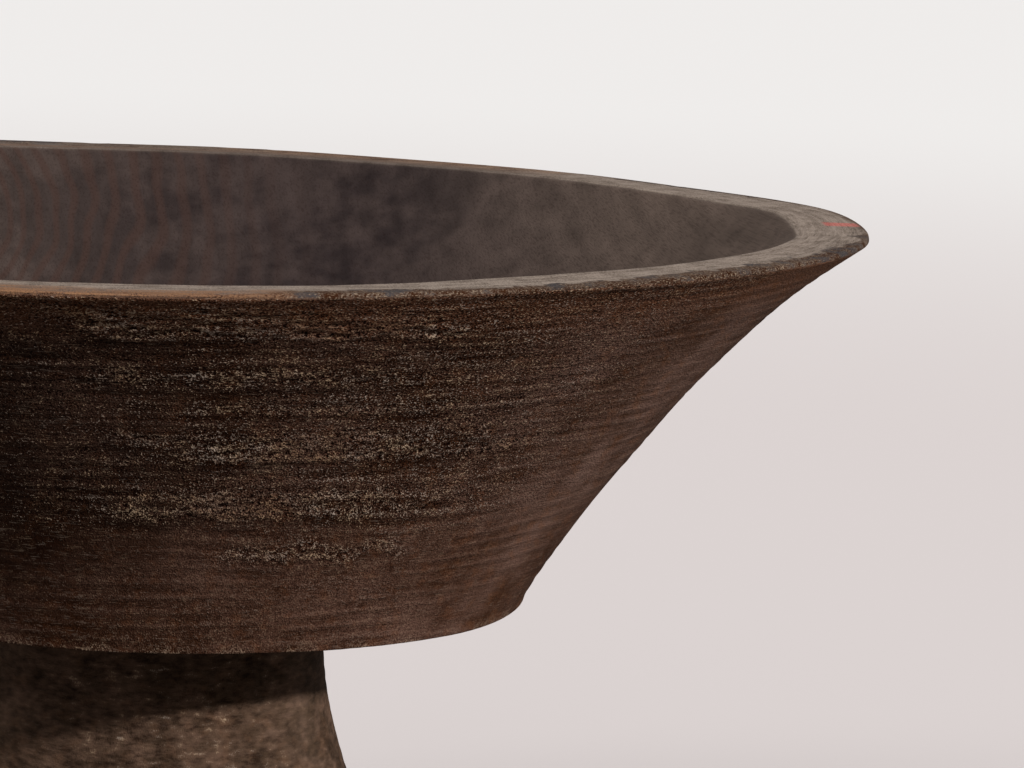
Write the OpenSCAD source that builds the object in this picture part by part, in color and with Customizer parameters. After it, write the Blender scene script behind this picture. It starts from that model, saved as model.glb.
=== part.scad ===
// Footed bowl carved from dark hardwood: a wide flaring bowl on a trumpet pedestal.
// Millimetres. +Z is up along the axis of symmetry, and z = 0 is the face that the foot stands on.

/* [Bowl] */
// Radius of the rim, at its outer edge
rim_r = 150; // [140:1:165]
// Width of the flat top of the rim
rim_w = 15.7; // [14:0.1:18]
// Chamfer along both edges of the rim
rim_chamfer = 0.8; // [0.3:0.1:1.5]
// Height of the bowl's outside, from its underside to the top of the rim
bowl_h = 83.2; // [78:0.1:90]
// Radius of the underside, where the outer wall ends
underside_r = 79; // [74:0.5:84]
// Radius of the arc that the outer wall follows, bent in towards the wood
wall_arc_r = 274; // [240:2:400]
// Depth of the inside, from the top of the rim to the middle of the floor
hollow_depth = 61; // [54:0.5:64]

/* [Pedestal] */
// Height of the pedestal, from the ground to the bowl's underside
pedestal_h = 80.8; // [78:0.1:90]
// Radius of the neck, where the pedestal meets the bowl
neck_r = 35.8; // [32:0.1:40]
// Radius of the arc that flares from the neck out to the foot
flare_arc_r = 120; // [110:1:130]
// Radius of the foot
foot_r = 62; // [56:0.5:64]
// Chamfer along the lower edge of the foot
foot_chamfer = 1.5; // [0.5:0.1:3]

/* [Joint] */
// Radius of the round tenon on the pedestal and of the socket that it fills
tenon_r = 22; // [18:0.5:26]
// Depth of the socket in the bowl's underside
socket_depth = 14; // [10:0.5:15]
// Gap left for glue between the end of the tenon and the socket's floor
glue_gap = 0.5; // [0.2:0.1:1]
// Chamfer on the end of the tenon
tenon_chamfer = 1; // [0.5:0.1:2]

/* [Hidden] */

wood_colour = [0.27, 0.18, 0.13];
// Segments in each full circle
circle_facets = 240;
// How far a cutting shape reaches past the surface that it cuts
cut_past = 1;

rim_z = pedestal_h + bowl_h;
rim_inner_r = rim_r - rim_w;
rim_edge = [rim_r, rim_z - rim_chamfer];
underside_edge = [underside_r, pedestal_h];
// The inside is part of a sphere whose lowest point is the middle of the floor
hollow_r = (pow(rim_inner_r, 2) + pow(hollow_depth, 2)) / (2 * hollow_depth);
tenon_top = pedestal_h + socket_depth - glue_gap;

// Centre of the circle of radius r through a and b, to the right of the way from a to b
function arc_centre(a, b, r) =
    let (half_chord = norm(b - a) / 2)
    let (along = (b - a) / norm(b - a))
    let (right = [along[1], -along[0]])
    (a + b) / 2 + right * sqrt(r * r - half_chord * half_chord);

// Half section of the bowl before the socket is cut
module bowl_section() {
    difference() {
        polygon([
            [0, pedestal_h],
            underside_edge,
            rim_edge,
            [rim_r - rim_chamfer, rim_z],
            [0, rim_z]
        ]);
        translate(arc_centre(underside_edge, rim_edge, wall_arc_r)) circle(r = wall_arc_r);
        translate([0, rim_z - hollow_depth + hollow_r]) circle(r = hollow_r);
        polygon([
            [rim_inner_r - cut_past, rim_z - rim_chamfer - cut_past],
            [rim_inner_r + rim_chamfer + cut_past, rim_z + cut_past],
            [rim_inner_r - cut_past, rim_z + cut_past]
        ]);
    }
}

// Open bowl with a blind round socket in the middle of its underside
module bowl() {
    color(wood_colour)
    difference() {
        rotate_extrude($fn = circle_facets) bowl_section($fn = circle_facets);
        translate([0, 0, pedestal_h - cut_past])
            cylinder(r = tenon_r, h = socket_depth + cut_past, $fn = circle_facets);
    }
}

// Half section of the stem and foot, below the tenon
module stem_section() {
    difference() {
        polygon([
            [0, 0],
            [foot_r - foot_chamfer, 0],
            [foot_r, foot_chamfer],
            [foot_r, pedestal_h],
            [0, pedestal_h]
        ]);
        translate([neck_r + flare_arc_r, pedestal_h]) circle(r = flare_arc_r);
    }
}

// Half section of the tenon, with a chamfered end
module tenon_section() {
    polygon([
        [0, 0],
        [tenon_r, 0],
        [tenon_r, tenon_top - tenon_chamfer],
        [tenon_r - tenon_chamfer, tenon_top],
        [0, tenon_top]
    ]);
}

// Trumpet-shaped stem and foot in one piece, with the round tenon on its top
module pedestal() {
    color(wood_colour)
    rotate_extrude($fn = circle_facets) {
        stem_section($fn = circle_facets);
        tenon_section();
    }
}

bowl();
pedestal();
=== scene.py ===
import math

import bpy
import numpy as np
from mathutils import Matrix, Vector


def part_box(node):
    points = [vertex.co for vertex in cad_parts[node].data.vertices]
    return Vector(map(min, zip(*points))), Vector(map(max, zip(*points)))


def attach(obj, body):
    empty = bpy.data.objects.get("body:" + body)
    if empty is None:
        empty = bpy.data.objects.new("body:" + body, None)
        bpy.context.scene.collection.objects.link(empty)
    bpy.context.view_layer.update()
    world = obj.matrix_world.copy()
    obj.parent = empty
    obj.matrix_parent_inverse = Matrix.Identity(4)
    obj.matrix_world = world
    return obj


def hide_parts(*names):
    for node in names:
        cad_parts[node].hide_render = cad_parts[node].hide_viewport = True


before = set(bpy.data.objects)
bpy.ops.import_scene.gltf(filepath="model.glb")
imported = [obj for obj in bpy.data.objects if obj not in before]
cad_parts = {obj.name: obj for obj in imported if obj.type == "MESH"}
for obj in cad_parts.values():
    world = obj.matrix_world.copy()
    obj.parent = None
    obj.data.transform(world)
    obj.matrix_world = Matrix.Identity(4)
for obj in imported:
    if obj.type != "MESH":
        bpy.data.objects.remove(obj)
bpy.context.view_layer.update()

# ---------------------------------------------------------------- sizes, in metres, from the frame

BOWL_LOW, BOWL_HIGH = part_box("bowl")
_, TENON_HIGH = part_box("pedestal")
RIM_R = 0.150                       # outer edge of the rim
RIM_W = 0.0157                      # flat top of the rim
UNDERSIDE_R = 0.079                 # lower end of the outer wall
RIM_LAND = 0.0011                   # height of the rounded strip along the rim's outer edge
WALL_PULLS = ((0.1210, 0.0182), (0.0832, 0.0701))   # radius and depth that bend the outer wall
HOLLOW_DEPTH = 0.061                # from the rim down to the middle of the floor
NECK_R = 0.0358
FLARE_ARC_R = 0.120
FOOT_R = 0.062
TENON_R = 0.022
TENON_CHAMFER = 0.001
SOCKET_DEPTH = 0.014
RIM_ROUND = 0.0010                  # how far the rounded edges reach in from their corners
RIM_INNER_ROUND = 0.0012
RIM_INNER_DOWN = 0.0013
UNDERSIDE_ROUND = 0.0005
UNDERSIDE_FLARE = 0.0002
FOOT_ROUND = 0.0018
FOOT_SIDE_ROUND = 0.0015
FOOT_TOP_ROUND = 0.0009
RIM_Z = BOWL_HIGH[2]
UNDERSIDE_Z = BOWL_LOW[2]
TENON_Z = TENON_HIGH[2]

# The rim has warped a little in drying. It stays inside the true circle and plane of the CAD rim.
WARP_UP = 0.0014
WARP_OUT = 0.0006
RIM_MEAN_Z = RIM_Z - WARP_UP
RIM_MEAN_R = RIM_R - WARP_OUT

HIGHEST_LIFT = 0.95 * WARP_UP

# The warp, as shares of the rim's radius: up and out in waves with two and three lobes, a tilt and a lip
# that is raised at one place
LIFT_TWO_COS = 0.0054
LIFT_TWO_SIN = -0.0065
LIFT_THREE_COS = -0.0023
SPREAD_TWO_COS = -0.0021
SPREAD_TWO_SIN = 0.0032
TILT = 0.0008
LIP_UP = 0.0060
LIP_TURN = math.radians(9)
LIP_HALF_WIDTH = math.radians(11)

AROUND_BOWL = 440                   # columns of the bowl's mesh
AROUND_PEDESTAL = 300
WALL_ROWS = 134                     # rows of the meshes on the wall, the inside and the flare
INSIDE_ROWS = 38
FLARE_ROWS = 120
FIBRE_TURN = math.radians(-82)      # the log's fibres lie level, in this direction
ROW_PITCH = 0.0038                  # from one row of the blade to the next, along the wall
TORN_COLUMN_LIMIT = 100             # finest wave around the bowl that its mesh can hold

# Depths below the rim between which the outer wall changes, from 0 to 1 of the effect
CALM_DEPTHS = (0.047, 0.058)
TONE_FADES_HIGH = (0.016, 0.004)
TONE_FADES_LOW = (0.058, 0.072)
BAND_SHADOW_DROP = 0.0024                 # how far below a rough band its painted shadow lies

# How far wear and wobble reach from an edge
EDGE_REACH = 0.0016
INNER_EDGE_REACH = 0.0020
LOW_EDGE_REACH = 0.0009
FOOT_EDGE_REACH = 0.002
FOOT_EDGE_Z = 0.006                 # height of the foot's upper edge

# Heights of the relief on the meshes
WALL_ROW_LIFT = 0.00007
WALL_HOLLOWS = 0.00012
TORN_PITS = 0.00012
BAND_PITS = 0.00016
RIM_HOLLOWS = 0.00012
RIM_WOBBLE = 0.00020
INSIDE_HOLLOWS = 0.00018
INSIDE_ROW_LIFT = 0.00004
CHIP_DEPTH = 0.0003
WORN_DEPTH = 0.0005
STEM_ROW_LIFT = 0.00005
STEM_HOLLOWS = 0.00018
STEM_PITS = 0.00022

# ---------------------------------------------------------------- smooth random fields


def waves(turn, along, lobes, lengths, count, seed):
    """A smooth random field around the axis, mostly within -2 to 2. lobes: fewest and most waves in a
    full turn. lengths: shortest and longest wave along the outline, in metres."""
    rng = np.random.default_rng(seed)
    total = np.zeros(np.broadcast(turn, along).shape)
    for _ in range(count):
        lobe = rng.integers(lobes[0], lobes[1] + 1)
        pace = rng.choice((-1, 1)) * 2 * math.pi / rng.uniform(*lengths)
        total += np.cos(lobe * turn + pace * along + rng.uniform(0, 2 * math.pi))
    return total / math.sqrt(count / 2)


def smooth(low, high, value):
    """0 below low, 1 above high and a smooth step between. low may be above high."""
    t = np.clip((value - low) / (high - low), 0, 1)
    return t * t * (3 - 2 * t)


def turn_gap(turn, centre):
    """How far turn is from centre, the short way round, in radians."""
    return np.abs((turn - centre + math.pi) % (2 * math.pi) - math.pi)


# ---------------------------------------------------------------- outlines


def line(start, end, steps):
    """Points from start up to, but without, end."""
    t = np.arange(steps)[:, None] / steps
    return np.array(start) * (1 - t) + np.array(end) * t


def arc(start, end, radius, steps, bulge):
    """Points on a circle from start up to, but without, end. bulge 1 bends to the left of the way, -1
    to its right."""
    start, end = np.array(start), np.array(end)
    half = np.linalg.norm(end - start) / 2
    along = (end - start) / (2 * half)
    left = np.array([-along[1], along[0]])
    centre = (start + end) / 2 - bulge * left * math.sqrt(radius**2 - half**2)
    from_angle = math.atan2(*(start - centre)[::-1])
    sweep = -bulge * 2 * math.asin(half / radius)
    angles = from_angle + sweep * np.arange(steps) / steps
    return centre + radius * np.stack([np.cos(angles), np.sin(angles)], axis=1)


def bend(start, pull_a, pull_b, end, steps):
    """A cubic curve from start towards pull_a, and from pull_b into end, without its end."""
    t = np.arange(steps)[:, None] / steps
    parts = ((1 - t) ** 3, 3 * t * (1 - t) ** 2, 3 * t * t * (1 - t), t**3)
    return sum(share * np.array(point) for share, point in zip(parts, (start, pull_a, pull_b, end)))


def corner(start, at, end, steps):
    """A rounded corner: a quadratic curve from start to end, pulled towards at, without its end."""
    t = np.arange(steps)[:, None] / steps
    return (1 - t) ** 2 * np.array(start) + 2 * t * (1 - t) * np.array(at) + t * t * np.array(end)


def joined(pieces):
    """One outline from named pieces: its points, and for each name a mask of the points in it."""
    points = np.concatenate([p for _, p in pieces])
    masks, first = {}, 0
    for name, piece in pieces:
        mask = np.zeros(len(points), bool)
        mask[first:first + len(piece)] = True
        masks[name] = masks[name] | mask if name in masks else mask
        first += len(piece)
    return points, masks


def normals(points):
    """Unit normals of an outline that runs up its outer side, pointing out of the wood."""
    step = np.gradient(points, axis=0)
    step /= np.maximum(np.linalg.norm(step, axis=1, keepdims=True), 1e-9)
    return np.stack([step[:, 1], -step[:, 0]], axis=1)


def distance_along(points):
    """Distance along the outline from its first point."""
    steps = np.linalg.norm(np.diff(points, axis=0), axis=1)
    return np.concatenate([[0], np.cumsum(steps)])


# ---------------------------------------------------------------- lathed mesh


def lathe(name, points, around, relief, attributes):
    """A closed solid from an outline whose first and last points lie on the axis. relief(turn) moves
    the points: it returns offsets (out, up) for every row and column. attributes: name -> rows x
    columns, kept on the mesh for the material."""
    turn = np.arange(around) * 2 * math.pi / around
    inner = points[1:-1]
    out, up = relief(turn[None, :])
    radius = inner[:, 0:1] + out[1:-1]
    height = inner[:, 1:2] + up[1:-1]
    rows = len(inner)
    ring = np.stack([radius * np.cos(turn), radius * np.sin(turn), height], axis=2).reshape(-1, 3)
    poles = np.array([[0, 0, points[0, 1]], [0, 0, points[-1, 1]]])
    vertices = np.concatenate([ring, poles])
    row, column = np.meshgrid(np.arange(rows - 1), np.arange(around), indexing="ij")
    after = (column + 1) % around
    quads = np.stack([
        row * around + column,
        row * around + after,
        (row + 1) * around + after,
        (row + 1) * around + column,
    ], axis=2).reshape(-1, 4)
    columns = np.arange(around)
    first_fan = [(rows * around, (c + 1) % around, c) for c in columns.tolist()]
    last = (rows - 1) * around
    last_fan = [(rows * around + 1, last + c, last + (c + 1) % around) for c in columns.tolist()]
    mesh = bpy.data.meshes.new(name)
    mesh.from_pydata(vertices.tolist(), [], quads.tolist() + first_fan + last_fan)
    for key, values in attributes.items():
        full = np.broadcast_to(values, (len(points), around))
        flat = np.concatenate([full[1:-1].reshape(-1), [full[0, 0], full[-1, 0]]])
        mesh.attributes.new(key, "FLOAT", "POINT").data.foreach_set("value", flat.astype(np.float32))
    mesh.shade_smooth()
    mesh.update()
    piece = bpy.data.objects.new(name, mesh)
    bpy.context.scene.collection.objects.link(piece)
    return piece


# ---------------------------------------------------------------- how the wood was cut and worn


def torn_grain(turn, along, seed):
    """0 to 1: how badly the fibres tore. They tear on the two opposite sides where the wall cuts across
    them, and in patches."""
    end_grain = smooth(0.62, 0.95, np.abs(np.cos(turn - FIBRE_TURN)))
    patches = waves(turn, along, (2, 14), (0.012, 0.050), 50, seed)
    return end_grain * (0.40 + 0.30 * smooth(-1.6, 1.4, patches)) + 0.30


def tool_rows(turn, along, seed):
    """Shallow rows that the blade left, nearly level, fading in and out around the bowl: how many rows
    down each point is, and how strong they are there, 0 to 1."""
    wander = 0.22 * waves(turn, along, (1, 6), (0.030, 0.090), 30, seed)
    strength = smooth(-1.4, 1.2, waves(turn, along, (3, 18), (0.010, 0.050), 50, seed + 1))
    return along / ROW_PITCH + wander, strength


# Rough bands where the blade dug in: depth below the rim, first and last turn in degrees, half width,
# strength.
ROUGH_BANDS = (
    (0.0464, -95, -62, 0.0010, 0.9),
    (0.0493, -97, -58, 0.0012, 1.0),
    (0.0334, -97, -54, 0.0012, 0.8),
    (0.0366, -94, -50, 0.0012, 0.9),
    (0.0052, -99, -80, 0.0014, 1.0),
    (0.0084, -97, -64, 0.0014, 1.0),
    (0.0190, -98, -70, 0.0012, 0.8),
    (0.0262, -92, -56, 0.0009, 0.5),
    (0.0590, -82, -60, 0.0014, 0.5),
    (0.0008, -64, -36, 0.0011, 0.5),
    (0.0420, 84, 128, 0.0024, 0.9),
    (0.0230, 96, 140, 0.0018, 0.7),
    (0.0640, 90, 117, 0.0022, 0.7),
    (0.0120, 110, 150, 0.0016, 0.6),
)


def rough_bands(turn, depth, seed):
    """0 to 1 on the bands above, with ragged ends and edges."""
    ragged = waves(turn, depth, (10, 60), (0.004, 0.014), 40, seed)
    total = np.zeros(np.broadcast(turn, depth).shape)
    for at, start, end, half_width, strength in ROUGH_BANDS:
        middle, reach = math.radians(start + end) / 2, math.radians(end - start) / 2
        across = smooth(2.2, 0.5, np.abs(depth - at) / half_width + 0.35 * ragged)
        ends = smooth(1.15, 0.7, turn_gap(turn, middle) / reach + 0.12 * ragged)
        total = np.maximum(total, strength * across * ends)
    return total


# Arcs of the rim: first and last turn in degrees, strength. On the worn ones the edge is rubbed bare,
# and on the frayed ones it is torn.
WORN_ARCS = ((-120, -83, 1.0), (52, 84, 0.5), (150, 188, 0.9))
FRAYED_ARCS = ((-86, -13, 1.0), (20, 45, 0.6), (98, 140, 0.9), (196, 222, 0.8))


def on_arcs(turn, arcs, seed):
    """0 to 1 on the arcs given, with ragged ends."""
    ragged = waves(turn, 0, (8, 60), (1, 2), 40, seed)
    total = np.zeros(turn.shape)
    for start, end, strength in arcs:
        middle, reach = math.radians(start + end) / 2, math.radians(end - start) / 2
        ends = smooth(1.2, 0.75, turn_gap(turn, middle) / reach + 0.1 * ragged)
        total = np.maximum(total, strength * ends)
    return total


# Where the outside is darker, or with a strength below 0 paler: turn and half width in degrees, strength.
# The paler patches at -44 and -31, on the side that the key lamp faces, are partly painted light.
TONES_AND_PAINTED_LIGHT = ((-118, 32, 1.0), (62, 30, 0.6), (168, 18, 0.5), (-44, 20, -0.20), (-31, 9, -0.30), (118, 14, -0.3))


def tone_and_painted_light(turn):
    """The list above as one field around the axis: 1 where darkest, below 0 where paler."""
    total = np.zeros(turn.shape)
    for at, half_width, strength in TONES_AND_PAINTED_LIGHT:
        total += strength * np.exp(-(turn_gap(turn, math.radians(at)) / math.radians(half_width)) ** 2)
    return total


# ---------------------------------------------------------------- bowl


def bowl_outline():
    """Outline of the bowl's half section, from the socket's ceiling round to the middle of the floor."""
    socket_top = UNDERSIDE_Z + SOCKET_DEPTH
    hollow_r = ((RIM_R - RIM_W) ** 2 + HOLLOW_DEPTH**2) / (2 * HOLLOW_DEPTH)
    floor_z = RIM_MEAN_Z - HOLLOW_DEPTH + WARP_UP
    rim_in = RIM_MEAN_R - RIM_W
    pulls = [(r, RIM_MEAN_Z - down) for r, down in WALL_PULLS]
    underside_end = (UNDERSIDE_R - UNDERSIDE_ROUND, UNDERSIDE_Z)
    wall_low = (UNDERSIDE_R + UNDERSIDE_FLARE, UNDERSIDE_Z + UNDERSIDE_ROUND)
    wall_high = (RIM_MEAN_R, RIM_MEAN_Z - RIM_LAND)
    rim_outer = (RIM_MEAN_R - RIM_ROUND, RIM_MEAN_Z)
    rim_inner = (rim_in + RIM_INNER_ROUND, RIM_MEAN_Z)
    inside_high = (rim_in - RIM_INNER_ROUND, RIM_MEAN_Z - RIM_INNER_DOWN)
    return joined([
        ("socket", line((0, socket_top), (TENON_R, socket_top), 4)),
        ("socket", line((TENON_R, socket_top), (TENON_R, UNDERSIDE_Z), 5)),
        ("underside", line((TENON_R, UNDERSIDE_Z), underside_end, 16)),
        ("low_edge", corner(underside_end, (UNDERSIDE_R, UNDERSIDE_Z), wall_low, 5)),
        ("wall", bend(wall_low, pulls[1], pulls[0], wall_high, WALL_ROWS)),
        ("rim_edge", corner(wall_high, (RIM_MEAN_R, RIM_MEAN_Z), rim_outer, 7)),
        ("rim", line(rim_outer, rim_inner, 13)),
        ("rim_inner", corner(rim_inner, (rim_in, RIM_MEAN_Z), inside_high, 5)),
        ("inside", arc(inside_high, (0, floor_z), hollow_r, INSIDE_ROWS, 1)),
        ("inside", np.array([[0, floor_z]])),
    ])


def bowl():
    """The bowl: its visible mesh with warp, tool rows, torn bands, chips and worn edges."""
    points, part = bowl_outline()
    along = distance_along(points)
    edge_at = along[part["rim_edge"]][0]
    along = (edge_at - along)[:, None]          # 0 at the rim's outer edge, positive down the wall
    turn = (np.arange(AROUND_BOWL) * 2 * math.pi / AROUND_BOWL)[None, :]
    depth = (RIM_MEAN_Z - points[:, 1])[:, None]
    wall = (part["wall"] | part["low_edge"])[:, None]
    rim_zone = (part["rim"] | part["rim_edge"] | part["rim_inner"])[:, None]
    inside = part["inside"][:, None]
    edge = part["rim_edge"][:, None] * 1.0

    calm = 1 - 0.70 * smooth(*CALM_DEPTHS, depth)
    bands = rough_bands(turn, depth, seed=31) * np.maximum(wall, edge)
    band_shadows = rough_bands(turn, depth - BAND_SHADOW_DROP, seed=31) * wall
    tone_fade = 1 - 0.5 * smooth(*TONE_FADES_HIGH, depth) - 0.45 * smooth(*TONE_FADES_LOW, depth)
    torn = np.clip(torn_grain(turn, along, seed=11) * calm * wall + bands, 0, 1.2)
    row_count, row_strength = tool_rows(turn, along, seed=21)
    rows = row_strength * np.sin(2 * math.pi * row_count)
    hollows = waves(turn, along, (2, 12), (0.025, 0.080), count=40, seed=41)
    pits = waves(turn, along, (40, TORN_COLUMN_LIMIT), (0.002, 0.006), count=60, seed=51)
    chips = smooth(1.6, 2.8, waves(turn, along * 0, (20, 90), (1, 2), count=40, seed=61))
    near_edge = np.exp(-np.abs(along) / EDGE_REACH)
    worn = on_arcs(turn, WORN_ARCS, seed=81)

    out_of_wood = normals(points)
    from_inner_edge = np.abs(points[:, 0:1] - (RIM_MEAN_R - RIM_W))
    inner_edge = np.exp(-from_inner_edge / INNER_EDGE_REACH) * smooth(0.004, 0.001, depth)
    wobble = RIM_WOBBLE * waves(turn, along * 0, (5, 60), (1, 2), count=40, seed=65) * inner_edge
    torn_relief = TORN_PITS * torn * np.abs(pits)
    lift = (
        wall * (WALL_ROW_LIFT * rows + WALL_HOLLOWS * hollows - torn_relief + BAND_PITS * bands * pits)
        + rim_zone * RIM_HOLLOWS * np.minimum(hollows - 1.5, 0)
        + inside * (INSIDE_HOLLOWS * hollows + INSIDE_ROW_LIFT * rows)
        - (CHIP_DEPTH * chips + WORN_DEPTH * worn) * near_edge
    )
    edge_fade = smooth(0.0, 0.004, depth) * wall + inside * smooth(0.0, 0.006, depth) + rim_zone

    def relief(turn):
        two = LIFT_TWO_COS * np.cos(2 * turn) + LIFT_TWO_SIN * np.sin(2 * turn)
        three = LIFT_THREE_COS * np.cos(3 * turn)
        tilt = TILT * (1 + np.sin(turn))
        lip = LIP_UP * np.exp(-(turn_gap(turn, LIP_TURN) / LIP_HALF_WIDTH) ** 2)
        warp_z = np.minimum(RIM_R * (two + three + tilt + lip), HIGHEST_LIFT)
        warp_r = RIM_R * (SPREAD_TWO_COS * np.cos(2 * turn) + SPREAD_TWO_SIN * np.sin(2 * turn))
        share = np.clip(1 - depth / (RIM_MEAN_Z - UNDERSIDE_Z), 0, 1)
        share = np.where(points[:, 0:1] > 0, share, 0)
        out = share * warp_r + wobble + lift * edge_fade * out_of_wood[:, 0:1]
        up = share * warp_z + lift * edge_fade * out_of_wood[:, 1:2]
        return out, up

    from_low_edge = np.abs(depth - (RIM_MEAN_Z - UNDERSIDE_Z))
    low_edge = np.exp(-from_low_edge / LOW_EDGE_REACH) * wall
    low_patches = smooth(-0.8, 1.0, waves(turn, along * 0, (5, 40), (1, 2), count=40, seed=91))
    attributes = {
        "along": along,
        "torn": torn,
        "row_count": row_count,
        "row_strength": row_strength * wall,
        "band": bands,
        # Darker and paler patches round the axis, the paler ones partly painted light, with a painted shadow
        # under each rough band
        "tone_and_painted_light": tone_and_painted_light(turn) * tone_fade + 0.5 * np.clip(band_shadows - bands, 0, 1),
        "worn": worn,
        "frayed": on_arcs(turn, FRAYED_ARCS, seed=85),
        "low_wear": low_edge * low_patches,
        "stem": np.zeros(1),
        "top": np.maximum(edge, rim_zone * smooth(0.0006, 0.0001, depth)),
        "inside": inside | part["rim_inner"][:, None],
    }
    return lathe("carved_bowl", points, AROUND_BOWL, relief, attributes)


# ---------------------------------------------------------------- pedestal


def pedestal_outline():
    """Outline of the pedestal's half section, from the middle of the foot round to the tenon's top."""
    edge_h = UNDERSIDE_Z - math.sqrt(FLARE_ARC_R**2 - (FLARE_ARC_R - FOOT_R + NECK_R) ** 2)
    base_end = (FOOT_R - FOOT_ROUND, 0)
    side_low = (FOOT_R, FOOT_ROUND)
    side_high = (FOOT_R, edge_h - FOOT_SIDE_ROUND)
    flare_low = (FOOT_R - FOOT_TOP_ROUND, edge_h + FOOT_TOP_ROUND)
    neck_top = (NECK_R, UNDERSIDE_Z)
    tenon_side = (TENON_R, TENON_Z - TENON_CHAMFER)
    tenon_end = (TENON_R - TENON_CHAMFER, TENON_Z)
    return joined([
        ("base", line((0, 0), base_end, 14)),
        ("foot", corner(base_end, (FOOT_R, 0), side_low, 6)),
        ("foot", line(side_low, side_high, 6)),
        ("foot", corner(side_high, (FOOT_R, edge_h), flare_low, 6)),
        ("flare", arc(flare_low, neck_top, FLARE_ARC_R, FLARE_ROWS, 1)),
        ("top", line(neck_top, (TENON_R, UNDERSIDE_Z), 5)),
        ("tenon", line((TENON_R, UNDERSIDE_Z), tenon_side, 5)),
        ("tenon", line(tenon_side, tenon_end, 2)),
        ("tenon", line(tenon_end, (0, TENON_Z), 4)),
        ("tenon", np.array([[0, TENON_Z]])),
    ])


ALONG_OFFSET = 0.4                  # so that the pedestal's pattern isn't the bowl's


def pedestal():
    """The pedestal: stem and foot with tool rows and worn edges, and the hidden tenon."""
    points, part = pedestal_outline()
    along = distance_along(points)[:, None]
    turn = (np.arange(AROUND_PEDESTAL) * 2 * math.pi / AROUND_PEDESTAL)[None, :]
    side = (part["flare"] | part["foot"])[:, None]
    height = points[:, 1:2]

    torn = np.clip(torn_grain(turn, along, seed=111) - 0.12, 0, 1) * side
    row_count, row_strength = tool_rows(turn, along, seed=121)
    rows = row_strength * np.sin(2 * math.pi * row_count)
    hollows = waves(turn, along, (1, 7), (0.025, 0.070), count=40, seed=141)
    pits = waves(turn, along, (20, TORN_COLUMN_LIMIT // 2), (0.002, 0.006), count=60, seed=151)
    fade = smooth(0.0, 0.003, height) * smooth(UNDERSIDE_Z, UNDERSIDE_Z - 0.003, height)
    lift = side * (STEM_ROW_LIFT * rows + STEM_HOLLOWS * hollows - STEM_PITS * torn * np.abs(pits))
    out_of_wood = normals(points)

    def relief(turn):
        return lift * fade * out_of_wood[:, 0:1], lift * fade * out_of_wood[:, 1:2]

    foot_wear = np.exp(-np.abs(height - FOOT_EDGE_Z) / FOOT_EDGE_REACH) + np.exp(-height / FOOT_EDGE_REACH)
    foot_patches = smooth(-0.8, 1.0, waves(turn, along * 0, (3, 20), (1, 2), count=40, seed=191))
    attributes = {
        "along": along + ALONG_OFFSET,
        "torn": torn,
        "row_count": row_count,
        "row_strength": 0.5 * row_strength * side,
        "band": np.zeros(1),
        # The bowl's darker and paler patches, weaker; the paler ones are partly painted light
        "tone_and_painted_light": 0.22 * tone_and_painted_light(turn) * side,
        "worn": np.zeros(1),
        "frayed": np.zeros(1),
        "stem": side,
        "low_wear": side * foot_wear * foot_patches,
        "top": np.zeros(1),
        "inside": np.zeros(1),
    }
    return lathe("carved_pedestal", points, AROUND_PEDESTAL, relief, attributes)


# ---------------------------------------------------------------- material


class Graph:
    """Short calls that add shader nodes. Each call returns an output socket, and any argument may be a
    socket or a value."""

    def __init__(self, tree):
        self.tree = tree

    def node(self, kind, **settings):
        made = self.tree.nodes.new(kind)
        for key, value in settings.items():
            setattr(made, key, value)
        return made

    def put(self, value, socket):
        if isinstance(value, bpy.types.NodeSocket):
            self.tree.links.new(value, socket)
        elif hasattr(socket.default_value, "__len__") and len(socket.default_value) == 4 and len(value) == 3:
            socket.default_value = (*value, 1)
        else:
            socket.default_value = value

    def math(self, operation, a, b=0.0):
        made = self.node("ShaderNodeMath", operation=operation)
        for value, socket in zip((a, b), made.inputs):
            self.put(value, socket)
        return made.outputs[0]

    def total(self, *terms):
        result = terms[0]
        for term in terms[1:]:
            result = self.math("ADD", result, term)
        return result

    def times(self, *factors):
        result = factors[0]
        for factor in factors[1:]:
            result = self.math("MULTIPLY", result, factor)
        return result

    def step(self, low, high, value):
        """0 at low, 1 at high, smooth between."""
        made = self.node("ShaderNodeMapRange", interpolation_type="SMOOTHSTEP")
        for given, key in ((value, "Value"), (low, "From Min"), (high, "From Max")):
            self.put(given, made.inputs[key])
        return made.outputs["Result"]

    def vector(self, x, y, z):
        made = self.node("ShaderNodeCombineXYZ")
        for value, socket in zip((x, y, z), made.inputs):
            self.put(value, socket)
        return made.outputs[0]

    def split(self, vector):
        made = self.node("ShaderNodeSeparateXYZ")
        self.put(vector, made.inputs[0])
        return made.outputs

    def noise(self, vector, size, detail, roughness=0.5):
        """0 to 1. size: how long a feature is, in the vector's units."""
        made = self.node("ShaderNodeTexNoise", noise_dimensions="3D")
        self.put(vector, made.inputs["Vector"])
        made.inputs["Scale"].default_value = 1 / size
        made.inputs["Detail"].default_value = detail
        made.inputs["Roughness"].default_value = roughness
        return made.outputs["Fac"]

    def signed(self, vector, size, detail, roughness):
        """Noise around 0, mostly within -1 to 1."""
        noise = self.noise(vector, size, detail, roughness)
        return self.times(self.math("SUBTRACT", noise, 0.5), NOISE_GAIN)

    def mix(self, factor, a, b, blend="MIX"):
        made = self.node("ShaderNodeMix", data_type="RGBA", blend_type=blend, clamp_factor=True)
        self.put(factor, made.inputs["Factor"])
        self.put(a, made.inputs[6])
        self.put(b, made.inputs[7])
        return made.outputs[2]

    def attribute(self, name):
        return self.node("ShaderNodeAttribute", attribute_name=name).outputs["Fac"]


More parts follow.
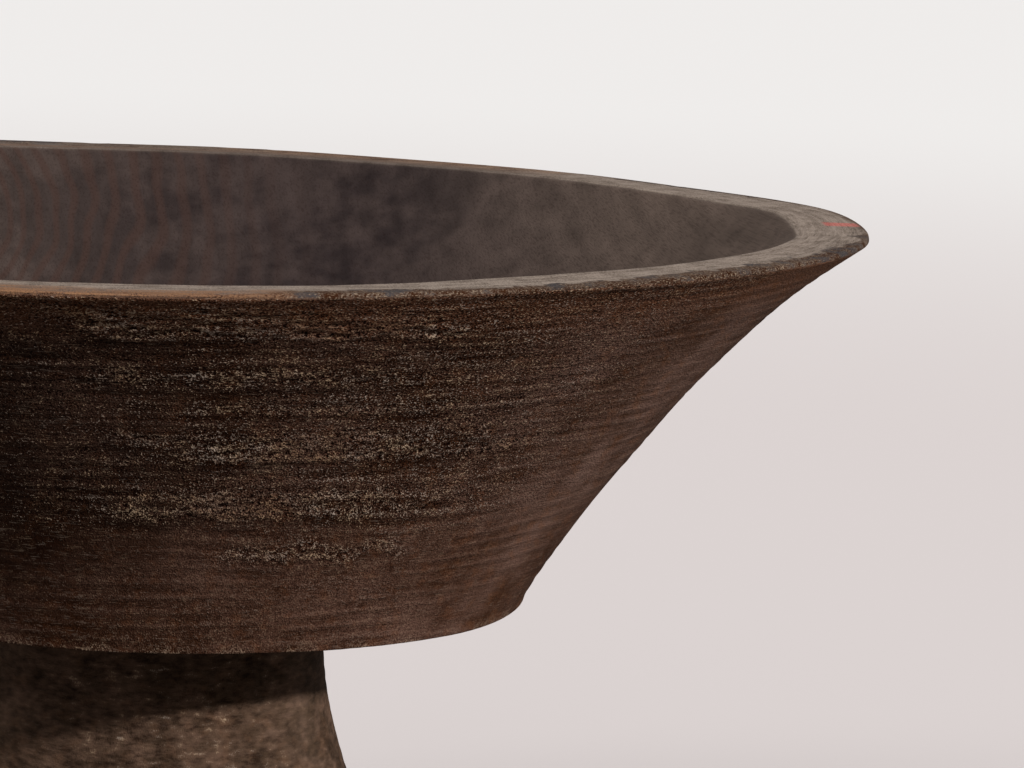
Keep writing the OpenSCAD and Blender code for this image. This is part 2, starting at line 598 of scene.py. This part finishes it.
# Colours of the wood, linear
NEAR_BLACK = (0.0060, 0.0010, 0.0002)
DARK_BROWN = (0.033, 0.0120, 0.0050)
MID_BROWN = (0.096, 0.050, 0.036)
RED_BROWN = (0.099, 0.036, 0.015)
STEM_BROWN = (0.140, 0.096, 0.064)
TAN = (0.400, 0.292, 0.195)
GREY_TAN = (0.360, 0.295, 0.250)
WORN_TAN = (0.320, 0.235, 0.170)
WORN_ORANGE = (0.205, 0.108, 0.058)
EDGE_BROWN = (0.118, 0.086, 0.066)
# Dust on the rim's top, greyer and paler, which also stands in for its sheen: painted sheen
GREY_DUST_AND_SHEEN = (0.255, 0.208, 0.176)
SLATE = (0.033, 0.032, 0.037)
DUST_SHADE = (0.090, 0.068, 0.055)
INSIDE_GREY = (0.035, 0.0250, 0.0232)
INSIDE_DARK = (0.018, 0.0130, 0.0132)
# Painted light on the inside, paler to the right and a little to the left
INSIDE_PAINTED_LIGHT = (0.086, 0.063, 0.052)
INSIDE_RING = (0.042, 0.0235, 0.0190)
RED_PENCIL = (0.480, 0.090, 0.080)
MARK_HALF_WIDTH = 0.0044
MARK_FROM = 0.932 * RIM_R
MARK_TO = 0.990 * RIM_R
AROUND_UNIT = 0.1                   # radius at which a step around is as long as one along
PITH_ACROSS = -0.042                # the log's pith: how far it passes from the axis, and its height
PITH_Z = RIM_Z - 0.012
RINGS_PER_ROOT = 94.0               # rings out to a radius: this times its square root
NOISE_GAIN = 7.0                    # brings noise that swings around 0 to about -1 to 1

# Places between which a part of the pattern goes from 0 to 1. Along the outline: 0 is the rim's outer
# edge, above 0 is down the wall and below 0 is over the rim.
NEAR_RIM_ALONG = (0.022, 0.004)
LOW_WALL_ALONG = (0.066, 0.080)
BARED_ALONG = (0.0007, -0.0003)
TOP_ALONG = (-0.0110, -0.0090)
WORN_ALONG = (-0.0100, -0.0048)
DUST_AND_SHEEN_ALONG = (-0.0013, -0.0027)
MORE_SMUDGE_Y = (-0.085, -0.060)
LESS_DUST_AND_SHEEN_Y = (0.02, 0.08)
LESS_DUST_AND_SHEEN_X = (0.105, 0.070)
PAINTED_LIGHT_RIGHT_X = (0.045, 0.125)
PAINTED_LIGHT_LEFT_X = (0.03, -0.06)
RINGS_R = (0.100, 0.050)            # from the pith


def grain_fields(g):
    """Every field that the wood's colour and relief are made from, by name."""
    place = g.node("ShaderNodeTexCoord").outputs["Object"]
    x, y, z = g.split(place)
    radius = g.math("SQRT", g.total(g.times(x, x), g.times(y, y), 1e-8))
    around_x = g.times(g.math("DIVIDE", x, radius), AROUND_UNIT)
    around_y = g.times(g.math("DIVIDE", y, radius), AROUND_UNIT)
    along = g.attribute("along")
    with_fibre = g.total(g.times(x, math.cos(FIBRE_TURN)), g.times(y, math.sin(FIBRE_TURN)))
    across_fibre = g.total(g.times(x, -math.sin(FIBRE_TURN)), g.times(y, math.cos(FIBRE_TURN)))

    def on_surface(around_scale, along_scale):
        """Surface coordinates. A feature's length each way is its size over the scale."""
        return g.vector(
            g.times(around_x, around_scale),
            g.times(around_y, around_scale),
            g.times(along, along_scale),
        )

    # Places in the wood with the way along the fibres shortened, so that features lie along them
    fibre_place = g.vector(g.times(with_fibre, 0.07), across_fibre, z)
    mottle_place = g.vector(g.times(with_fibre, 0.10), across_fibre, g.times(z, 0.30))
    level_place = g.vector(g.times(x, 0.45), g.times(y, 0.45), z)

    # Growth rings round the log's pith
    from_pith = g.math("SUBTRACT", across_fibre, PITH_ACROSS)
    below_pith = g.math("SUBTRACT", z, PITH_Z)
    ring_r = g.math("SQRT", g.total(g.times(from_pith, from_pith), g.times(below_pith, below_pith)))
    ring_wobble = g.times(g.noise(g.vector(g.times(with_fibre, 0.4), across_fibre, z), 0.030, 2.0), 0.012)
    ring_phase = g.times(g.math("SQRT", g.total(ring_r, ring_wobble)), RINGS_PER_ROOT)

    # Rows of the blade, as narrow ridges with a mean near 0
    row_wave = g.total(g.times(g.math("SINE", g.times(g.attribute("row_count"), 2 * math.pi)), 0.5), 0.5)
    ridges = g.total(g.times(g.math("POWER", row_wave, 2.2), 2.3), -0.75)

    return {
        "x": x,
        "y": y,
        "radius": radius,
        "along": along,
        "ring_r": ring_r,
        "rings": g.total(g.times(g.math("SINE", g.times(ring_phase, 2 * math.pi)), 0.5), 0.5),
        "fibres": g.signed(fibre_place, 0.00045, 3.0, 0.62),
        "coarse_fibres": g.signed(fibre_place, 0.0030, 2.0, 0.5),
        "patches": g.signed(place, 0.035, 3.0, 0.5),
        "small_patches": g.signed(place, 0.0065, 2.0, 0.6),
        "lumps": g.signed(level_place, 0.0012, 2.0, 0.5),
        "specks": g.signed(place, 0.00040, 1.0, 0.6),
        "scrapes": g.signed(on_surface(0.10, 1.0), 0.0008, 3.0, 0.6),
        "streaks": g.signed(on_surface(0.07, 1.0), 0.0014, 3.0, 0.66),
        "ticks": g.signed(on_surface(0.90, 0.74), 0.00030, 1.0, 0.6),
        "clumps": g.signed(on_surface(0.85, 1.0), 0.0010, 2.0, 0.55),
        "glint_dashes": g.signed(on_surface(0.13, 1.0), 0.00036, 1.0, 0.5),
        "mottle": g.signed(mottle_place, 0.0036, 2.0, 0.5),
        "rows": g.times(ridges, g.attribute("row_strength")),
        "near_rim": g.step(*NEAR_RIM_ALONG, along),
        "low": g.step(*LOW_WALL_ALONG, along),
    }


def outside_colour(g, f):
    """A dark ground, browner by rows and patches, with tan where torn fibres catch the light, partly a
    painted highlight, and painted shade in the hollows between.
    """
    darkening = g.math("MAXIMUM", f["tone_and_painted_light"], 0.0)
    lightening = g.math("MAXIMUM", g.times(f["tone_and_painted_light"], -1.0), 0.0)
    even = g.total(1.0, g.times(f["low"], -0.55), g.times(f["stem"], 0.55), g.times(lightening, -0.60))
    tone = g.total(
        g.times(f["patches"], 0.42),
        g.times(f["streaks"], even, 0.35),
        g.times(f["small_patches"], g.total(0.25, g.times(f["stem"], 0.20))),
        g.times(f["rows"], 0.10),
        g.times(f["near_rim"], 0.85),
    )
    ground = g.mix(g.step(-1.0, 1.0, tone), DARK_BROWN, MID_BROWN)
    reddish = g.total(g.times(g.step(0.1, 1.2, f["coarse_fibres"]), 0.30), g.times(f["near_rim"], 0.66))
    ground = g.mix(reddish, ground, RED_BROWN)
    ground = g.mix(g.times(f["stem"], 0.37), ground, STEM_BROWN)

    clump_share = g.total(
        g.times(f["band"], 0.55),
        g.times(f["low"], 0.25),
        g.times(f["stem"], -0.35),
        0.18,
    )
    crest = g.total(
        g.times(f["ticks"], g.total(0.90, g.times(f["stem"], -0.60))),
        g.times(f["scrapes"], even, 0.22),
        g.times(f["rows"], 0.21),
        g.times(f["streaks"], even, 0.11),
        g.times(f["clumps"], clump_share),
        g.times(f["lumps"], f["stem"], 0.50),
        g.times(f["band"], 0.30),
    )
    # Near-black pits where the crests are low: painted shade in the hollows between raised fibres
    pit_shade_strength = g.total(g.times(f["torn"], 0.60), g.times(lightening, -0.50), g.times(f["stem"], -0.44), 0.42)
    pit_shade = g.times(g.step(0.0, -0.85, crest), pit_shade_strength)
    mottled = g.total(g.times(f["lumps"], 0.15), g.times(f["small_patches"], 0.12), -0.30)
    # The ground darker where the field is above 0, which holds the painted shadows under the rough bands,
    # and paler where it is below 0, partly painted light
    darker = g.total(g.times(darkening, -0.66), g.times(f["stem"], mottled))
    shades = [g.total(1.0, darker, g.times(lightening, gain)) for gain in (1.05, 1.45, 1.80)]
    ground = g.mix(1.0, ground, g.vector(*shades), "MULTIPLY")
    colour = g.mix(pit_shade, ground, NEAR_BLACK)

    rarer = g.total(g.times(darkening, g.total(0.52, g.times(f["band"], -0.50))), g.times(lightening, 0.9))
    fleck = g.times(g.step(g.total(0.52, rarer), g.total(1.25, rarer), crest), g.step(0.0, 0.80, f["torn"]))
    fleck = g.times(fleck, g.total(0.80, g.times(f["stem"], -0.26)))
    # Thin pale dashes along the fibres: partly pale fibre, partly painted glints
    glint_dash_share = g.total(0.10, g.times(f["tone_and_painted_light"], 0.05), g.times(f["stem"], -0.07))
    glint_dash = g.times(g.step(0.80, 1.35, f["glint_dashes"]), glint_dash_share)
    fleck_colour = g.mix(g.step(-0.8, 0.8, f["small_patches"]), GREY_TAN, TAN)
    orange_place = g.step(-0.2, 1.2, g.total(f["clumps"], f["patches"]))
    orange = g.times(g.total(0.15, g.times(f["band"], 0.6)), orange_place)
    fleck_colour = g.mix(orange, fleck_colour, WORN_ORANGE)
    return g.mix(g.math("MAXIMUM", fleck, glint_dash), colour, fleck_colour)


def inside_colour(g, f):
    """Smoother and greyer than the outside, with painted light to either side, and growth rings near the
    pith.
    """
    patchy = g.step(-0.9, 0.9, g.total(f["patches"], g.times(f["small_patches"], 0.4)))
    colour = g.mix(patchy, INSIDE_DARK, INSIDE_GREY)
    # Painted light: the inside paler to the right, and a little to the left
    painted_light = g.total(g.step(*PAINTED_LIGHT_RIGHT_X, f["x"]), g.times(g.step(*PAINTED_LIGHT_LEFT_X, f["x"]), 0.30))
    colour = g.mix(painted_light, colour, INSIDE_PAINTED_LIGHT)
    mottled = g.total(1.0, g.times(f["mottle"], 0.10), g.times(f["small_patches"], 0.08))
    colour = g.mix(1.0, colour, g.vector(mottled, mottled, mottled), "MULTIPLY")
    ring_show = g.times(g.step(0.30, 1.0, f["rings"]), g.step(*RINGS_R, f["ring_r"]), 0.60)
    colour = g.mix(ring_show, colour, INSIDE_RING)
    return g.mix(g.times(g.step(0.2, -1.2, f["fibres"]), 0.30), colour, NEAR_BLACK)


def rim_colour(g, f, colour):
    """Over the colour given: dust and painted sheen on the rim's flat top, bare worn wood on its edge, a red
    pencil mark.
    """
    dust_grain = g.total(
        g.times(f["scrapes"], 0.45),
        g.times(f["specks"], 0.50),
        g.times(f["small_patches"], 0.35),
    )
    # The rim's top: dust, whose pale grey is also painted sheen
    dust_and_sheen = g.mix(g.step(-1.3, 0.9, dust_grain), DUST_SHADE, GREY_DUST_AND_SHEEN)
    crumbled = g.total(
        g.times(f["specks"], 0.45),
        g.times(f["ticks"], 0.70),
        g.times(f["small_patches"], 0.70),
    )
    bared = g.mix(g.step(-1.1, 1.2, crumbled), DARK_BROWN, EDGE_BROWN)
    rubbed = g.mix(g.step(-1.1, 0.8, dust_grain), MID_BROWN, WORN_ORANGE)
    bared = g.mix(g.times(f["worn"], g.step(-1.5, 0.3, dust_grain)), bared, rubbed)
    smudge = g.total(
        f["small_patches"],
        g.times(f["specks"], 0.4),
        g.times(g.step(*MORE_SMUDGE_Y, f["y"]), 0.7),
    )
    smudge = g.times(f["frayed"], g.step(0.0, 1.3, smudge))
    bared = g.mix(g.times(smudge, 0.85), bared, SLATE)
    crumb_share = g.total(g.step(0.4, 1.2, f["torn"]), g.times(f["frayed"], 0.5))
    crumbs = g.times(g.step(0.5, 1.2, f["ticks"]), crumb_share, g.total(1.0, g.times(smudge, -0.5)))
    bared = g.mix(g.times(crumbs, 0.6), bared, TAN)

    ragged = g.total(f["along"], g.times(f["clumps"], 0.00035), g.times(f["small_patches"], 0.00030))
    near_edge = g.times(g.step(*BARED_ALONG, ragged), g.step(*TOP_ALONG, f["along"]))
    wear_edge = g.total(f["along"], g.times(f["scrapes"], 0.0012), g.times(f["patches"], 0.0014))
    worn_in = g.times(f["worn"], g.step(*WORN_ALONG, wear_edge), g.step(-1.6, 0.8, dust_grain))
    dust_and_sheen = g.mix(worn_in, dust_and_sheen, rubbed)
    colour = g.mix(g.times(f["top"], 0.45), colour, DUST_SHADE)
    colour = g.mix(near_edge, colour, bared)
    dust_and_sheen_lies = g.total(0.97, g.times(g.step(*LESS_DUST_AND_SHEEN_Y, f["y"]), g.step(*LESS_DUST_AND_SHEEN_X, f["x"]), -0.70))
    dust_and_sheen_edge = g.total(
        ragged,
        g.times(f["patches"], 0.0006),
        g.times(f["small_patches"], g.total(g.times(f["frayed"], 0.0010), 0.0003)),
        g.times(f["frayed"], 0.0034),
    )
    colour = g.mix(g.times(f["top"], g.step(*DUST_AND_SHEEN_ALONG, dust_and_sheen_edge), dust_and_sheen_lies), colour, dust_and_sheen)

    mark = g.times(
        g.step(MARK_HALF_WIDTH, 0.5 * MARK_HALF_WIDTH, g.math("ABSOLUTE", f["y"])),
        g.step(MARK_FROM, MARK_FROM + 0.0015, f["radius"]),
        g.step(MARK_TO, MARK_TO - 0.0015, f["radius"]),
        g.step(0.0, 0.01, f["x"]),
        f["top"],
        g.step(-1.6, 0.2, f["specks"]),
    )
    return g.mix(g.times(mark, 0.62), colour, RED_PENCIL)


def carved_wood():
    """Old dark hardwood: solid fibres and growth rings, rows of torn grain, a dusty top with painted sheen,
    worn edges, and painted light and shade in places.
    """
    material = bpy.data.materials.new("carved_wood")
    material.use_nodes = True
    tree = material.node_tree
    tree.nodes.clear()
    g = Graph(tree)
    f = grain_fields(g)
    for name in ("inside", "top", "torn", "band", "tone_and_painted_light", "stem", "worn", "frayed", "low_wear"):
        f[name] = g.attribute(name)

    colour = g.mix(f["inside"], outside_colour(g, f), inside_colour(g, f))
    colour = rim_colour(g, f, colour)
    low_wear = g.times(f["low_wear"], g.step(-0.2, 1.2, g.total(f["ticks"], g.times(f["clumps"], 0.7))))
    colour = g.mix(g.times(low_wear, 0.75), colour, WORN_TAN)

    # Heights of the finest relief, too fine for the meshes
    outside = g.math("SUBTRACT", 1.0, f["inside"])
    rough_share = g.total(1.0, g.times(f["stem"], -0.80))
    height = g.total(
        g.times(f["ticks"], g.total(g.times(f["torn"], 0.00014), 0.00001), outside, rough_share),
        g.times(f["clumps"], g.total(f["torn"], f["band"]), outside, rough_share, 0.00012),
        g.times(f["lumps"], f["stem"], 0.00004),
        g.times(f["streaks"], outside, 0.00005),
        g.times(f["rows"], outside, 0.00003),
        g.times(f["specks"], f["top"], 0.00003),
        g.times(f["fibres"], 0.000025),
    )
    bump = g.node("ShaderNodeBump")
    bump.inputs["Strength"].default_value = 1.0
    bump.inputs["Distance"].default_value = 1.0
    g.put(height, bump.inputs["Height"])

    shader = g.node("ShaderNodeBsdfPrincipled")
    g.put(colour, shader.inputs["Base Color"])
    g.put(bump.outputs[0], shader.inputs["Normal"])
    g.put(g.total(g.times(f["fibres"], 0.06), g.times(f["top"], 0.12), 0.70), shader.inputs["Roughness"])
    shader.inputs["Specular IOR Level"].default_value = 0.03
    output = g.node("ShaderNodeOutputMaterial")
    tree.links.new(shader.outputs[0], output.inputs["Surface"])
    return material


# ---------------------------------------------------------------- studio

FLOOR_HALF = 40.0
FLOOR_NEAR_SHADED = (0.556, 0.522, 0.528)  # what the camera sees, near the object and far from it; the darker near colour is painted shade
FLOOR_FAR = (0.672, 0.672, 0.680)
FLOOR_CHANGE = (0.8, 2.4)           # distances from the axis between which the one turns into the other
FLOOR_BOUNCE = (0.20, 0.185, 0.175)
SURROUND = (0.86, 0.86, 0.86)
SURROUND_LIGHT = (0.37, 0.36, 0.355)


def camera():
    """A long lens, just above the rim, that looks past the bowl's right side."""
    distance = 7.106 * RIM_MEAN_R
    above_rim = 0.7334 * RIM_MEAN_R
    yaw = math.radians(4.035)
    pitch = math.radians(7.788)
    roll = math.radians(2.435)
    data = bpy.data.cameras.new("camera")
    data.lens = 175.8
    data.sensor_width = 36
    data.clip_end = 5 * FLOOR_HALF
    made = bpy.data.objects.new("camera", data)
    turned = (
        Matrix.Rotation(-yaw, 4, "Z")
        @ Matrix.Rotation(math.pi / 2 - pitch, 4, "X")
        @ Matrix.Rotation(roll, 4, "Z")
    )
    made.matrix_world = Matrix.Translation((0, -distance, RIM_MEAN_Z + above_rim)) @ turned
    bpy.context.scene.collection.objects.link(made)
    bpy.context.scene.camera = made


def studio_surface(g, seen, bounced, shader_kind, output_kind):
    """A studio surface that the camera sees in one colour and that lights the object in a darker one."""
    ray = g.node("ShaderNodeLightPath").outputs["Is Camera Ray"]
    shader = g.node(shader_kind)
    g.put(g.mix(ray, bounced, seen), shader.inputs["Color"])
    output = g.node(output_kind)
    g.tree.links.new(shader.outputs[0], output.inputs["Surface"])


def lamp(name, turn, height, energy, angle, colour):
    """A far lamp: its turn and height above the floor and its own width are in degrees."""
    turn, height = math.radians(turn), math.radians(height)
    level = math.cos(height)
    towards = Vector((math.cos(turn) * level, math.sin(turn) * level, math.sin(height)))
    data = bpy.data.lights.new(name, "SUN")
    data.energy = energy
    data.angle = math.radians(angle)
    data.color = colour
    made = bpy.data.objects.new(name, data)
    made.rotation_euler = towards.to_track_quat("Z", "Y").to_euler()
    bpy.context.scene.collection.objects.link(made)


def studio():
    """A pale floor painted darker near the object as painted shade, a pale surround, a key lamp low on the
    right in front and a wide fill.
    """
    mesh = bpy.data.meshes.new("floor")
    corners = [(FLOOR_HALF * x, FLOOR_HALF * y, 0) for x, y in ((-1, -1), (1, -1), (1, 1), (-1, 1))]
    mesh.from_pydata(corners, [], [(0, 1, 2, 3)])
    floor = bpy.data.objects.new("floor", mesh)
    bpy.context.scene.collection.objects.link(floor)
    material = bpy.data.materials.new("floor")
    material.use_nodes = True
    material.node_tree.nodes.clear()
    g = Graph(material.node_tree)
    x, y, _ = g.split(g.node("ShaderNodeTexCoord").outputs["Object"])
    away = g.math("SQRT", g.total(g.times(x, x), g.times(y, y)))
    seen = g.mix(g.step(*FLOOR_CHANGE, away), FLOOR_NEAR_SHADED, FLOOR_FAR)
    studio_surface(g, seen, FLOOR_BOUNCE, "ShaderNodeBsdfDiffuse", "ShaderNodeOutputMaterial")
    mesh.materials.append(material)

    world = bpy.data.worlds.new("surround")
    world.use_nodes = True
    world.node_tree.nodes.clear()
    g = Graph(world.node_tree)
    studio_surface(g, SURROUND, SURROUND_LIGHT, "ShaderNodeBackground", "ShaderNodeOutputWorld")
    bpy.context.scene.world = world

    lamp("key", turn=-48, height=25.4, energy=4.1, angle=3, colour=(1.0, 0.975, 0.94))
    lamp("fill", turn=188, height=38, energy=1.8, angle=40, colour=(1.0, 0.98, 0.95))
    bpy.context.scene.view_settings.view_transform = "Standard"


# ---------------------------------------------------------------- assembly

wood = carved_wood()
for piece, node in ((bowl(), "bowl"), (pedestal(), "pedestal")):
    piece.data.materials.append(wood)
    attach(piece, "root")
    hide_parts(node)
camera()
studio()
